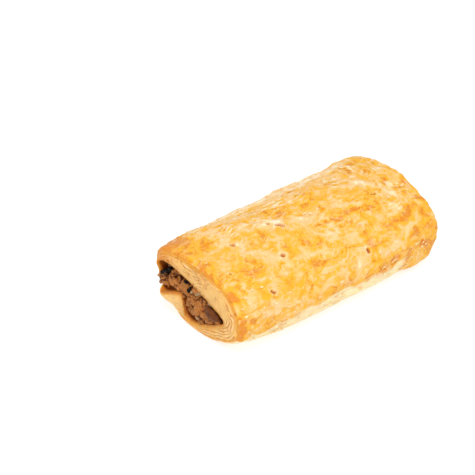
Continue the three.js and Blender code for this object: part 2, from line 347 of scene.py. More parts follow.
def lattice_noise(points, seed):
    """Smooth noise from about -1 to 1: random slopes at a unit lattice's corners, blended by a quintic."""
    cell = np.floor(points).astype(np.int64)
    part = points - cell
    ease = part ** 3 * (part * (part * 6 - 15) + 10)
    total = np.zeros(points.shape[:-1])
    for corner in itertools.product((0, 1), repeat=3):
        at = cell + corner
        key = at[..., 0] * 73856093 ^ at[..., 1] * 19349663 ^ at[..., 2] * 83492791 ^ seed * 26544357
        key = (key & 0xFFFFFFFF) * 1274126177 & 0xFFFFFFFF
        key = (key ^ key >> 15) * 668265263 & 0xFFFFFFFF
        slope = np.stack([key & 1023, key >> 10 & 1023, key >> 20 & 1023], -1) / 511.5 - 1
        weight = np.prod(np.where(corner, ease, 1 - ease), axis=-1)
        total += weight * ((part - corner) * slope).sum(-1)
    return total * 1.5


def layered_noise(points, seed, octaves=3):
    """Lattice noise summed over octaves, each at twice the scale and half the height of the last."""
    return sum(lattice_noise(points * 2.0 ** k, seed + k) / 2.0 ** k for k in range(octaves))


def thin_lines(points, seed, sharpness=3.0):
    """Wandering lines: 1 where lattice noise crosses 0, less the sharpness times its size."""
    return np.clip(1 - np.abs(lattice_noise(points, seed)) * sharpness, 0, 1)


def turn_from(angle, degrees):
    """Signed turn in degrees from a place round the section."""
    return (np.degrees(angle) - degrees + 180) % 360 - 180


def bump(angle, centre, spread, power=2):
    """A bump of height 1 at centre degrees: e to minus the power of the turn over the spread."""
    return np.exp(-np.abs(turn_from(angle, centre) / spread) ** power)


def reach_to_path(points, path):
    """Shortest distance from each point to a path of straight pieces, or to its single point."""
    path = np.atleast_2d(path)
    reach = np.linalg.norm(points - path[0], axis=-1)
    for start, end in zip(path[:-1], path[1:]):
        along = end - start
        share = np.clip(((points - start) @ along) / max(along @ along, 1e-9), 0, 1)
        reach = np.minimum(reach, np.linalg.norm(points - start - share[..., None] * along, axis=-1))
    return reach


# ---- The surfaces of the roll ----

def nearness(t):
    """1 at the near mouth, falling with the square to 0 at END_REACH of the length."""
    return np.clip(1 - t / END_REACH, 0, None) ** 2


def along_roll(values, t):
    """Blends a near, middle and far value along the roll."""
    near, middle, far = values
    return middle + nearness(t) * (near - middle) + nearness(1 - t) * (far - middle)


class Roll:
    """The crust, bore and rims of the roll as functions of t along it and the angle round it."""

    def __init__(self, form):
        self.length = form.length / MM
        self.front = np.array(form.front) / MM
        self.back = np.array(form.back) / MM
        self.height = np.array(form.height) / MM
        self.bore_half_width = form.bore_half_width / MM
        self.roof_height = form.roof_height / MM
        self.floor_depth = form.floor_depth / MM
        self.blister = form.blister / MM
        self.fit_to_solid(*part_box("pastry"))

    def fit_to_solid(self, low, high):
        """Moves the middle of the roll's box to the middle of its solid's, measured on a coarse grid."""
        rows, around = 90, 720
        angle = np.linspace(0, 2 * np.pi, around, endpoint=False)[None, :]
        t = np.linspace(0, 1, rows)[:, None]
        share = np.broadcast_to(t, (rows, around))
        parts = [self.skin(t, angle), self.rim(0.0, angle, share, -1), self.rim(1.0, angle, share, 1)]
        points = np.concatenate([part.reshape(-1, 3) for part in parts])
        low, high = np.array(low) / MM, np.array(high) / MM
        self.offset = (low + high - points.min(0) - points.max(0)) / 2 * (1, 1, 0)
        self.low, self.high = low - self.offset, high - self.offset

    def section_shares(self, t, angle):
        """The section as a superellipse: each share is a signed power 2/n of the cosine or the sine."""
        power = np.where(np.sin(angle) > 0, along_roll(TOP_POWER, t), along_roll(BASE_POWER, t))
        cos, sin = np.cos(angle), np.sin(angle)
        return np.sign(cos) * np.abs(cos) ** (2 / power), np.sign(sin) * np.abs(sin) ** (2 / power)

    def swellings(self, x, angle, up):
        """Long swellings: two sines along the roll, modulated round it, that fade out underneath."""
        broad = np.sin(x / BROAD_SWELLING + 1.3 * np.sin(2 * angle)) * np.sin(3 * angle + 0.7)
        narrow = np.sin(x / NARROW_SWELLING + 4 * angle) * 0.5
        return self.blister * (broad + narrow) * smoothstep(-0.75, -0.2, up)

    def mouth_x(self, t, angle, y):
        """Place along X: even steps, a notch at the back of each mouth, and a slanted far mouth."""
        notch = BACK_NOTCH * bump(angle, NOTCH_AT, NOTCH_SPREAD)
        ends = nearness(t) ** 2 - nearness(1 - t) ** 2
        return self.length * (t - 0.5) + notch * ends + FAR_SLANT * t * y

    def skin(self, t, angle, inset=0.0):
        """The crust: the superellipse scaled to the reaches and height at t, and flattened at the tray."""
        t, angle, inset = np.broadcast_arrays(t, angle, inset)
        across, up = self.section_shares(t, angle)
        height = along_roll(self.height, t)
        widest = height * along_roll(WIDEST_AT, t)
        out = self.swellings(self.length * t, angle, up) - inset
        y = across * (np.where(across > 0, along_roll(self.back, t), along_roll(self.front, t)) + out)
        z = widest + up * np.where(up > 0, height - widest + out, widest + SUNK - inset)
        heel = HEEL_LIFT * nearness(t) * np.clip(across, 0, 1) ** 2 * np.clip(-up, 0, 1)
        seam = SEAM_LIFT * smoothstep(SEAM_Y - 1, SEAM_Y + 2, y) * np.clip(-2 * up, 0, 1)
        return np.stack([self.mouth_x(t, angle, y), y, np.maximum(z, 0) + heel + seam], -1)

    def bore(self, t, angle, gap=0.0, shrunk=0.0):
        """The hollow: a roof and a floor about a slanted line, with the end of the sheet on its floor.

        The floor is the rounded maximum of a trough and the flap: half of their sum and their hypotenuse.
        """
        t, angle = np.broadcast_arrays(t, angle)
        across, up = np.cos(angle), np.sin(angle)
        waist = 1 - BORE_WAIST * np.sin(np.pi * t)
        y = BORE_Y + (self.bore_half_width * waist - gap) * across
        line = BORE_Z + BORE_SLOPE * (y - BORE_Y)
        rise = np.abs(up) ** ROOF_POWER
        tall = (self.roof_height + ROOF_LEAN * across) * rise * waist - (gap + shrunk) * rise
        depth = np.where(across > 0, np.sqrt(np.abs(up)), 1 - np.abs(across) ** 1.5)
        wave, wavelength = FLAP_WAVE
        flap = FLAP_TOP - FLAP_SLOPE * (y - FLAP_FULL) + wave * np.sin((y - FLAP_FULL) / wavelength)
        flap = flap * smoothstep(FLAP_START - 1 - 2 * gap, FLAP_FULL + 1 - 2 * gap, y)
        floor = line - self.floor_depth * depth * waist
        floor = (floor + flap + np.hypot(floor - flap, FLAP_ROUND)) / 2
        floor = np.minimum(floor + gap, line)
        z = np.where(up >= 0, line + np.maximum(tall, 0), floor)
        return np.stack([self.mouth_x(t, angle, y), y, z], -1)

    def flap_out(self, angle):
        """How far the soft end of the sheet stands out of a mouth, in mm."""
        return FLAP_OUT * bump(angle, FLAP_AT, 24, 4)

    def rim(self, t, angle, share, out):
        """A mouth: a straight blend from crust to bore, swollen outwards by a half sine over the wall."""
        share, angle = np.broadcast_arrays(share, angle)
        points = (1 - share)[..., None] * self.skin(t, angle, EDGE_RADIUS)
        points = points + share[..., None] * self.bore(t, angle)
        swell = RIM_BULGE * np.sin(np.pi * share) + self.flap_out(angle) * smoothstep(0.1, 0.6, share)
        points[..., 0] += out * swell
        return points

    def place(self, x, degrees):
        """The point of the crust at a place along X and round the section."""
        angle = np.radians(float(degrees))
        t = x / self.length + 0.5
        for _ in range(3):
            t = t - (self.skin(t, angle)[0] - x) / self.length
        return self.skin(t, angle)

    def path(self, places):
        """The points of the crust at several places."""
        return np.array([self.place(x, degrees) for x, degrees in places])


def grid_normals(points):
    """Unit normals of a grid closed both ways: the cross product of its two central differences."""
    across = np.roll(points, -1, axis=1) - np.roll(points, 1, axis=1)
    along = np.roll(points, -1, axis=0) - np.roll(points, 1, axis=0)
    normals = np.cross(across, along)
    return normals / np.maximum(np.linalg.norm(normals, axis=-1, keepdims=True), 1e-9)


# ---- Meshes ----

def torus_faces(rows, columns):
    """Quads of a grid that closes on itself both ways."""
    row, column = np.meshgrid(np.arange(rows), np.arange(columns), indexing="ij")
    right, below = (column + 1) % columns, (row + 1) % rows
    corners = ((row, column), (below, column), (below, right), (row, right))
    return np.stack([down * columns + across for down, across in corners], -1).reshape(-1, 4)


def capped_faces(rows, columns):
    """Triangles of a grid closed round its columns, with a pole before its first row and after its last."""
    row, column = np.meshgrid(np.arange(rows - 1), np.arange(columns), indexing="ij")
    right = (column + 1) % columns
    a, b = 1 + row * columns + column, 1 + row * columns + right
    c, d = a + columns, b + columns
    sides = np.concatenate([np.stack([a, c, b], -1).reshape(-1, 3), np.stack([b, c, d], -1).reshape(-1, 3)])
    step = np.arange(columns)
    following = (step + 1) % columns
    last = 1 + (rows - 1) * columns
    first_cap = np.stack([np.zeros(columns, int), 1 + step, 1 + following], -1)
    last_cap = np.stack([np.full(columns, 1 + rows * columns), last + following, last + step], -1)
    return np.concatenate([sides, first_cap, last_cap])


def outward(points, faces):
    """The faces turned so that the mesh holds a positive volume."""
    corners = points.reshape(-1, 3)[faces[:, :3]]
    volume = np.einsum("ij,ij->", corners[:, 0], np.cross(corners[:, 1], corners[:, 2]))
    if faces.shape[1] == 4:
        corners = points.reshape(-1, 3)[faces[:, [0, 2, 3]]]
        volume += np.einsum("ij,ij->", corners[:, 0], np.cross(corners[:, 1], corners[:, 2]))
    return faces if volume > 0 else faces[:, ::-1]


def linked(name, data):
    """An object of the scene that holds some data."""
    made = bpy.data.objects.new(name, data)
    bpy.context.scene.collection.objects.link(made)
    return made


def to_mesh(name, roll, points, faces, attributes=None):
    """A piece in metres from points in millimetres, faces of equal size, and a value for each point."""
    points = points.reshape(-1, 3)
    faces = outward(points, faces)
    places = (points + roll.offset) * MM
    corners = faces.shape[1]
    mesh = bpy.data.meshes.new(name)
    mesh.vertices.add(len(places))
    mesh.vertices.foreach_set("co", places.astype(np.float32).ravel())
    mesh.loops.add(faces.size)
    mesh.loops.foreach_set("vertex_index", faces.astype(np.int32).ravel())
    mesh.polygons.add(len(faces))
    mesh.polygons.foreach_set("loop_start", np.arange(0, faces.size, corners, dtype=np.int32))
    mesh.polygons.foreach_set("use_smooth", np.full(len(faces), True))
    mesh.update(calc_edges=True)
    for key, values in (attributes or {}).items():
        layer = mesh.attributes.new(key, "FLOAT", "POINT")
        layer.data.foreach_set("value", np.asarray(values, dtype=np.float32).ravel())
    if mesh.validate():
        raise RuntimeError(f"{name} had faces that Blender had to mend")
    piece = linked(name, mesh)
    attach(piece, BODY)
    return piece


def ball(level):
    """Points and faces of an icosahedron whose triangles are each cut into four, level times over."""
    golden = (1 + 5 ** 0.5) / 2
    corners = [(a, b * golden, 0) for a in (-1, 1) for b in (-1, 1)]
    points = np.array([np.roll(corner, turn) for turn in range(3) for corner in corners])
    points = points / np.linalg.norm(points[0])
    gap = np.linalg.norm(points[:, None] - points[None], axis=-1)
    near = (gap > 0.1) & (gap < gap[gap > 0.1].min() * 1.01)
    faces = np.array(list(itertools.combinations(range(12), 3)))
    a, b, c = faces.T
    faces = faces[near[a, b] & near[b, c] & near[a, c]]
    a, b, c = points[faces.T]
    turned = np.einsum("ij,ij->i", a, np.cross(b, c)) < 0
    faces[turned] = faces[turned][:, ::-1]
    for _ in range(level):
        edges = np.sort(np.concatenate([faces[:, [0, 1]], faces[:, [1, 2]], faces[:, [2, 0]]]), axis=1)
        unique, where = np.unique(edges, axis=0, return_inverse=True)
        middles = points[unique].mean(axis=1)
        ab, bc, ca = where.reshape(3, -1) + len(points)
        a, b, c = faces.T
        points = np.concatenate([points, middles / np.linalg.norm(middles, axis=1, keepdims=True)])
        quarters = ((a, ab, ca), (ab, b, bc), (ca, bc, c), (ab, bc, ca))
        faces = np.concatenate([np.stack(quarter, -1) for quarter in quarters])
    return points, faces


def turned_axes(rng):
    """A random turn as three square axes, the first turned about where they would mirror."""
    axes, _ = np.linalg.qr(rng.normal(size=(3, 3)))
    axes[:, 0] *= np.sign(np.linalg.det(axes))
    return axes


def join_pieces(shapes):
    """Many (points, faces, one tone or a tone a point) as one set of points, faces and tones."""
    starts = np.cumsum([0] + [len(points) for points, _, _ in shapes[:-1]])
    points = np.concatenate([points for points, _, _ in shapes])
    faces = np.concatenate([faces + start for (_, faces, _), start in zip(shapes, starts)])
    tones = np.concatenate([np.broadcast_to(tone, len(points)) for points, _, tone in shapes])
    return points, faces, tones


# ---- The crust ----

def shaken(points, reach, spacing, shifts, seeds):
    """Points moved along each axis by reach times layered noise, read at a shifted place of its lattice."""
    noises = [layered_noise(points / spacing + shift, seed, 2) for shift, seed in zip(shifts, seeds)]
    return points + reach * np.stack(noises, -1)


def wrinkle_zones(points, angle):
    """Shares of wrinkling: over the whole crust, along the back, at the far end and over the far top."""
    x = points[..., 0]
    by_back = bump(angle, 50, 34, 4) * smoothstep(-66, -40, x)
    by_far = smoothstep(36, 50, x) * bump(angle, 75, 50, 4)
    far_top = smoothstep(-5, 22, x) * bump(angle, 85, 40, 4)
    wrinkled = 0.25 + by_back + by_far + 0.5 * far_top + 0.5 * lattice_noise(points / 17, 51)
    return np.clip(wrinkled, 0.12, 1), by_back, by_far, far_top


def crust_folds(bent, wrinkled, by_back, by_far):
    """Folds from 0 to 1: webs of thin lines, drawn out along the back and round the far end."""
    web = thin_lines(bent / (8.0, 5.0, 5.0), 21, 2.6) ** 1.5
    small_web = thin_lines(bent / (4.2, 3.0, 3.0), 22, 2.6) ** 1.5
    long_folds = thin_lines(bent / (24.0, 3.2, 3.2), 27, 1.8)
    ring_folds = thin_lines(bent / (3.6, 18.0, 18.0), 28, 1.8)
    folds = (0.5 * web + 0.3 * small_web) * (0.3 + 0.7 * wrinkled)
    folds = folds + (0.7 * long_folds - folds) * by_back
    return folds + (0.85 * ring_folds - folds) * by_far


def crust_relief(roll, points, angle):
    """Height in mm, and browning with painted light, of the crust: layered noise bent by noise, then the
    marks and swells. Raised folds and lips get a painted highlight and the foot of each step painted shade.
    """
    x = points[..., 0]
    wrinkled, by_back, by_far, far_top = wrinkle_zones(points, angle)
    bent = shaken(points, 3.0, 9, (0, 31, 57), (11, 12, 13))
    folds = crust_folds(bent, wrinkled, by_back, by_far)
    terrace = 2.3 * layered_noise(bent / (15.0, 11.0, 11.0) + 5, 29, 2)
    terrace = terrace - np.floor(terrace)
    drop = smoothstep(1.0, 0.86, terrace) * terrace
    lip = np.exp(-((terrace - 0.9) / 0.07) ** 2)
    foot = np.exp(-(terrace / 0.12) ** 2)
    swell = layered_noise(bent / 8.5, 23, 2)
    grain = layered_noise(points / 1.9, 24, 2)
    curled = shaken(bent, 3.0, 12, (3, 41, 73), (14, 14, 14))
    mottle = layered_noise(curled / (9.5, 6.0, 6.0), 25, 3)
    edges = 0.3 + 0.7 * wrinkled
    height = 0.65 * folds + 0.42 * swell + 0.07 * grain + 0.45 * drop * edges - 0.42
    # Paler on the raised folds and lips and darker at the foot of each step: painted highlight and painted
    # shade that follow the relief, on top of the crust's own browning
    browning_and_painted_light = 0.4 + 0.46 * mottle + 0.06 * swell - 0.42 * folds + 0.04 * grain
    browning_and_painted_light += (0.26 * foot - 0.3 * lip) * edges
    # Browner towards the far end, and much darker high on the back by the near mouth: there partly browning,
    # partly painted shade
    browning_and_painted_light += 0.08 * smoothstep(35, 60, x) + 0.6 * bump(angle, 45, 26, 3) * smoothstep(-46, -62, x)
    browning_and_painted_light += 0.34 * np.maximum(by_back, 0.6 * far_top) * layered_noise(points / (20, 7, 7), 53, 2)
    # A paler band along the back edge that forms the outline from the stage's camera: a painted sheen,
    # partly the pale wisps there
    painted_back_sheen = bump(angle, 40 - 0.15 * x, 17, 4) * smoothstep(-52, -34, x)
    browning_and_painted_light -= 0.5 * painted_back_sheen * (0.75 + 0.5 * lattice_noise(points / (9, 4, 4), 52))
    unsteady = shaken(points, 0.9, 4, (0, 13, 29), (61, 61, 61))
    for width, rise, shade, places in MARKS:
        share = np.exp(-(reach_to_path(unsteady, roll.path(places)) / width) ** 2)
        height += rise * share
        browning_and_painted_light += MARK_SHADE * shade * share
    over = np.maximum(browning_and_painted_light - BROWNEST, 0)
    browning_and_painted_light = np.minimum(browning_and_painted_light, BROWNEST + 0.24 * np.tanh(2.5 * over))
    for width, rise, places in SWELLS:
        height += rise * np.exp(-(reach_to_path(points, roll.path(places)) / width) ** 2)
    return height, browning_and_painted_light, wrinkled, by_far


def prick_holes(roll, points):
    """Depth, painted shade and raised lip of the holes: S curves of the distance to the path of each tear.
    """
    depth, shade, lip = np.zeros((3, *points.shape[:-1]))
    for radius, places in PRICKS:
        reach = reach_to_path(points, roll.path(places)) / (0.8 * radius)
        depth = np.maximum(depth, 1.5 * radius * smoothstep(1.35, 0.35, reach))
        shade = np.maximum(shade, smoothstep(1.3, 0.7, reach))
        lip = np.maximum(lip, np.exp(-((reach - 2.1) / 0.8) ** 2))
    return depth, shade, lip


def torn_cells(y, z):
    """Depth and painted shade of the bubbles in the near rim: S curves of the distance to each, with a ring
    of painted shade round it.
    """
    depth, shade = np.zeros_like(y), np.zeros_like(y)
    for at_y, at_z, radius, deep, dark in RIM_CELLS:
        reach = np.hypot(y - at_y, z - at_z) / radius
        depth = np.maximum(depth, deep * smoothstep(1.25, 0.5, reach))
        shade = np.maximum(shade, dark * smoothstep(1.1, 0.5, reach))
        shade = np.maximum(shade, 0.55 * np.exp(-((reach - 1) / 0.28) ** 2))
    return depth, shade


def unglazed_strip(points, angle):
    """The lower front that the glaze missed: its cover, the lip over its upper edge, and its streaks."""
    x, _, z = np.moveaxis(points, -1, 0)
    lower_front = smoothstep(-0.3, -0.7, np.cos(angle)) * smoothstep(0.1, -0.02, np.sin(angle))
    wander = 2.0 * layered_noise(points / (11, 7, 7), 31, 2)
    edge_z = STRIP_TOP - 2.5 * smoothstep(-35, -62, x) + wander
    strip = lower_front * smoothstep(edge_z + 0.8, edge_z - 0.8, z) * smoothstep(1.5, 4.5, z)
    overhang = lower_front * np.exp(-((z - edge_z - 0.8) / 1.0) ** 2)
    return strip * smoothstep(44, 34, x), overhang, thin_lines(points / (16.0, 2.2, 1.6), 33, 1.7)


def rim_layers(points, angle, depth, inner):
    """Height in mm and shade of the layers in a rim: sines of the depth, which drift and part by noise. The
    shade is painted shade in the gaps and the bubble cells, and a browned line along the outer edge.
    """
    drift = layered_noise(points / (4.0, 9.0, 9.0), 41, 2)
    layers = np.sin(2 * np.pi * (depth / LAYER_PITCH + 0.9 * drift))
    outline = np.exp(-((depth - 1.5 - 0.5 * drift) / 0.45) ** 2)
    parted = layered_noise(points / 6, 46, 2) + 0.5 * bump(angle, 215, 60)
    parted = (0.45 + 0.55 * smoothstep(-0.2, 0.5, parted)) * (0.25 + 0.75 * smoothstep(1.0, 4.5, inner))
    within = smoothstep(0.6, 2.0, depth) * smoothstep(0.5, 3.6, inner)
    cells = smoothstep(0.3, 0.75, layered_noise(points / (2.2, 2.2, 1.8) + 7, 44, 2))
    cells = cells * within * smoothstep(-0.75, 0.35, layered_noise(points / 9, 45, 1))
    rough, grain = layered_noise(points / 3.2, 42, 2), layered_noise(points / 1.5, 47, 2)
    height = 0.24 * layers * parted * within + 0.4 * rough + 0.12 * grain - 0.15 * cells
    return height, (0.5 + 0.5 * layers * parted) * (1 - 0.9 * np.maximum(cells, outline))


def loop_rows(roll, angle):
    """The rows of the closed sheet: crust, far edge, far mouth, bore, near mouth and near edge.

    Gives their points, their share of the way from crust to bore, and 0, 1 or 2 for crust, rim or bore.
    """
    edge = EDGE_RADIUS / roll.length
    crust_t = np.linspace(edge, 1 - edge, CRUST_ROWS)[:, None]
    turn = (np.arange(1, EDGE_ROWS + 1) / (EDGE_ROWS + 1) * np.pi / 2)[:, None]
    inset = EDGE_RADIUS * (1 - np.cos(turn))
    near_t = edge * (1 - np.sin(turn))
    share = np.linspace(0, 1, RIM_ROWS)[:, None]
    bore_t = 0.5 + 0.5 * np.cos(np.linspace(0, np.pi, BORE_ROWS + 2)[1:-1])[:, None]
    rows = (
        (roll.skin(crust_t, angle), 0 * crust_t, 0),
        (roll.skin(1 - near_t, angle, inset), 0 * near_t, 0),
        (roll.rim(1.0, angle, share, 1), share, 1),
        (roll.bore(bore_t, angle), 0 * bore_t + 1, 2),
        (roll.rim(0.0, angle, share[::-1], -1), share[::-1], 1),
        (roll.skin(near_t, angle, inset)[::-1], 0 * near_t, 0),
    )
    points, shares = (np.concatenate([row[column] for row in rows]) for column in (0, 1))
    kind = np.concatenate([np.full(len(part), number) for part, _, number in rows])[:, None]
    return points, shares, kind


def build_crust(roll, relief):
    """The sheet as a grid closed both ways, each point moved along its normal by the relief's height."""
    angle = np.linspace(0, 2 * np.pi, AROUND, endpoint=False)[None, :]
    points, share, kind = loop_rows(roll, angle)
    angle = np.broadcast_to(angle, points.shape[:2])
    on_crust, on_rim, on_bore = (1.0 * np.broadcast_to(kind == number, angle.shape) for number in (0, 1, 2))
    wall = np.linalg.norm(roll.skin(0.0, angle[:1]) - roll.bore(0.0, angle[:1]), axis=-1)
    depth = share * wall
    inner = wall - depth
    x, y, z = np.moveaxis(points, -1, 0)
    from_mouth = np.minimum(x - roll.mouth_x(0.0, angle, y), roll.mouth_x(1.0, angle, y) - x)

    height, browning_and_painted_light, wrinkled, by_far = crust_relief(roll, points, angle)
    browning_and_painted_light += 0.12 * np.exp(-(from_mouth / 1.5) ** 2) + 0.06 * np.exp(-(from_mouth / 6) ** 2)
    # Darker on the back by the near mouth: partly browning, partly painted shade
    browning_and_painted_light += 0.18 * smoothstep(0.75, 1.0, np.cos(angle)) * smoothstep(-40, -70, x)
    strip, overhang, streaks = unglazed_strip(points, angle)
    height = height * (1 - 0.55 * strip) + strip * (0.5 * streaks - 0.55) + 0.25 * overhang
    browning_and_painted_light += 0.06 * overhang - 0.4 * strip
    pits, pit_shade, pit_lip = prick_holes(roll, points)
    height = height - pits + 0.3 * pit_lip
    # The raised lips of the holes are made paler: a painted highlight
    browning_and_painted_light -= 0.3 * pit_lip
    height = height * smoothstep(0.5, 1.8, z) * relief * smoothstep(0.0, 2.5, from_mouth + 1.2)

    rim_height, layer = rim_layers(points, angle, depth, inner)
    torn_depth, torn_shade = (torn * on_rim * (x < 0) for torn in torn_cells(y, z))
    flap = on_rim * bump(angle, FLAP_AT, 26, 3) * smoothstep(0.12, 0.4, share)
    rim_height = rim_height * (1 - 0.6 * flap) - 0.6 * torn_depth
    rim_height = rim_height + 0.7 * flap * layered_noise(points / 6, 48, 2)
    height = height + on_rim * rim_height * smoothstep(0.2, 1.6, depth) * smoothstep(-0.4, 1.6, inner + 0.2)
    height = height + on_bore * 0.4 * layered_noise(points / 4, 43, 2)

    moved = points + grid_normals(points) * height[..., None]
    moved = np.clip(moved, roll.low - PROUD_BELOW, roll.high + PROUD_ABOVE)
    moved[..., 2] = np.where(z < TRAY_SKIN, 0, moved[..., 2])
    worn = np.clip(0.66 + 0.34 * streaks + 0.3 * layered_noise(points / (9, 3, 3), 34, 2), 0, 1)
    return to_mesh("pastry_crust", roll, moved, torus_faces(len(points), AROUND), {
        "browning_and_painted_light": browning_and_painted_light, "wrinkled": wrinkled, "ringed": by_far, "strip": strip * worn,
        "rim": on_rim, "bore": on_bore, "holes_brown_and_shade": pit_shade * on_crust + torn_shade,
        "under": smoothstep(0.9, 0.05, z) * on_crust, "layer": layer, "depth": depth,
        # The rim's back wall is browned and partly painted in shade
        "inner": inner + CRUST_INNER * on_crust, "flap": flap, "scorched_and_shaded": on_rim * bump(angle, 30, 36, 3),
    })


# ---- Loose flakes ----

def flake(rng, length, width):
    """A curled flake: a thin bent plate whose edge wanders, with a top, an underside and a closed edge."""
    around, rings = 14, 3
    angle = np.linspace(0, 2 * np.pi, around, endpoint=False)
    edge = 1 + 0.22 * np.sin(2 * angle + rng.uniform(0, 6)) + 0.15 * np.sin(3 * angle + rng.uniform(0, 6))
    curl, thick = rng.uniform(-0.5, 0.9), rng.uniform(0.22, 0.38)
    radii = np.concatenate([np.arange(1, rings + 1) / rings, np.arange(rings, 0, -1) / rings])
    side = np.concatenate([np.ones(rings), -np.ones(rings)])
    u = radii[:, None] * edge * np.cos(angle) * length
    v = radii[:, None] * edge * np.sin(angle) * width
    w = curl * (u / length) ** 2 + side[:, None] * thick / 2 * np.sqrt(1.03 - radii[:, None] ** 2)
    poles = np.array([[0, 0, thick / 2], [0, 0, -thick / 2]])
    grid = np.stack([u, v, w], -1).reshape(-1, 3)
    return np.concatenate([poles[:1], grid, poles[1:]]), capped_faces(2 * rings, around)


FLAKE_PLACES = (  # along X, degrees round, half length and half width in mm
    (2, 94, 1.3, 0.8), (4, 97, 1.1, 0.6), (0, 97, 1.0, 0.7), (10, 96, 1.1, 0.6), (13, 98, 0.9, 0.5),
    (62, 109, 2.0, 0.8), (65, 112, 1.7, 0.7), (59, 107, 1.2, 0.6), (-5, 171, 1.2, 0.6),
    (55, 181, 1.1, 0.6), (57, 184, 0.8, 0.5), (54, 184, 0.9, 0.5), (-18, 87, 2.4, 1.2), (-22, 85, 1.9, 1.0),
    (50, 190, 1.4, 0.8), (46, 187, 1.3, 0.8), (52, 186, 1.0, 0.7), (22, 126, 0.9, 0.5), (25, 128, 0.8, 0.5),
)

# Ranges of the other flakes: along X, degrees round, half length and half width in mm
FRONT_FLAKES = ((-58, 56), (176, 200), (0.9, 2.4), (0.35, 0.8))
MOUTH_FLAKES = ((60, 68), (0, 200), (0.6, 1.2), (0.3, 0.6))
OTHER_FLAKES = ((-62, 62), (-10, 190), (0.5, 1.1), (0.3, 0.6))
FLAKES_WITHIN = 67  # mm from the middle
FLAKE_LIFT = 0.2


def random_flake(rng):
    """A flake along the lower front edge, round one of the mouths or anywhere, by chance."""
    if rng.random() < 0.45:
        return [rng.uniform(*limits) for limits in FRONT_FLAKES]
    if rng.random() < 0.5:
        end = rng.choice((-1, 1))
        x, *rest = (rng.uniform(*limits) for limits in MOUTH_FLAKES)
        return [end * x, *rest]
    return [rng.uniform(*limits) for limits in OTHER_FLAKES]


def build_flakes(roll, count, seed):
    """Flakes where the sheet blistered and scattered ones, each laid flat on the crust with a small turn."""
    rng = np.random.default_rng(seed)
    places = [*FLAKE_PLACES, *(random_flake(rng) for _ in range(count))]
    shapes = []
    for x, degrees, length, width in places:
        x = float(np.clip(x, -FLAKES_WITHIN, FLAKES_WITHIN))
        centre = roll.place(x, degrees)
        along = roll.place(x + 1, degrees) - roll.place(x - 1, degrees)
        across = roll.place(x, degrees + 2) - roll.place(x, degrees - 2)
        normal = np.cross(across, along)
        normal /= np.linalg.norm(normal)
        if normal @ (centre - (centre[0], 0, BORE_Z)) < 0:
            normal = -normal
        along /= np.linalg.norm(along)
        turn = rng.uniform(-0.5, 0.5)
        first = np.cos(turn) * along + np.sin(turn) * np.cross(normal, along)
        axes = np.stack([first, np.cross(normal, first), normal])
        points, faces = flake(rng, length, width)
        shapes.append((centre + normal * FLAKE_LIFT + points @ axes, faces, rng.uniform(0, 1)))
    points, faces, tones = join_pieces(shapes)
    points[:, 2] = np.maximum(points[:, 2], TRAY_SKIN)
    return to_mesh("crust_flakes", roll, points, faces, {"tone": tones})


# ---- The filling ----

CORE_SET_BACK = 3.2
CORE_GAP = 0.5
CORE_DROP = 2.4  # how much lower the core's roof is than the hollow's


def build_core(roll):
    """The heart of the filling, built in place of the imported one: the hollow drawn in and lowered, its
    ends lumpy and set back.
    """
    around, cap_rows, rows = 160, 16, 120
    angle = np.linspace(0, 2 * np.pi, around, endpoint=False)[None, :]
    set_back = CORE_SET_BACK / roll.length
    t = np.linspace(set_back, 1 - set_back, rows)[:, None]
    body = roll.bore(t, angle, CORE_GAP, CORE_DROP)
    middle = np.array((0, BORE_Y, BORE_Z - 1))
    share = (np.arange(1, cap_rows + 1) / (cap_rows + 1))[:, None, None]

    def cap(ring):
        """Rings from the middle out to a ring, whose X goes from the ring's mean to its own."""
        points = middle + share * (ring - middle)
        points[..., 0] = ring[:, 0] * share[..., 0] + (1 - share[..., 0]) * ring[:, 0].mean()
        return points

    near_cap, far_cap = cap(body[0]), cap(body[-1])[::-1]
    grid = np.concatenate([near_cap, body, far_cap]).reshape(-1, 3)
    points = np.concatenate([[near_cap[0].mean(0)], grid, [far_cap[-1].mean(0)]])
    lumps = layered_noise(points / 3.4, 71, 3)
    ends = smoothstep(8, 3, roll.length / 2 - np.abs(points[:, 0]))
    points[:, 0] += np.sign(points[:, 0]) * ends * (0.9 * lumps - 0.6)
    points[:, 2] += (1 - ends) * 0.3 * lumps
    faces = capped_faces(rows + 2 * cap_rows, around)
    # The core is kept dark: painted shade in the gaps between the lumps
    tones = 0.12 + 0.35 * lumps
    return to_mesh("filling_core", roll, points, faces, {"tone": tones})


def hollow_limits(roll, y):
    """Lowest and highest z of the hollow at a place across it."""
    angle = np.arccos(np.clip((y - BORE_Y) / roll.bore_half_width, -0.999, 0.999))
    return [float(roll.bore(0.0, side * angle)[2]) for side in (-1, 1)]


def in_mouth(roll, near, y, z, depth):
    """The point at a depth behind the near or the far mouth."""
    x = float(roll.mouth_x(0.0 if near else 1.0, np.pi / 2, y))
    return np.array([x + (depth if near else -depth), y, z])


def rough_lump(base, rng, radii, roughness):
    """A lump: a ball scaled to three radii and turned, its radius swollen and pitted by layered noise.

    Gives its points, its faces and how much lighter each point is: a painted highlight on the swellings and
    painted shade in the pits.
    """
    directions, faces = base
    seed = int(rng.integers(1, 10 ** 6))
    swell = roughness * layered_noise(directions * 1.3 + seed % 97, seed, 4)
    return directions * (1 + swell[:, None]) * radii @ turned_axes(rng), faces, 1.6 * swell


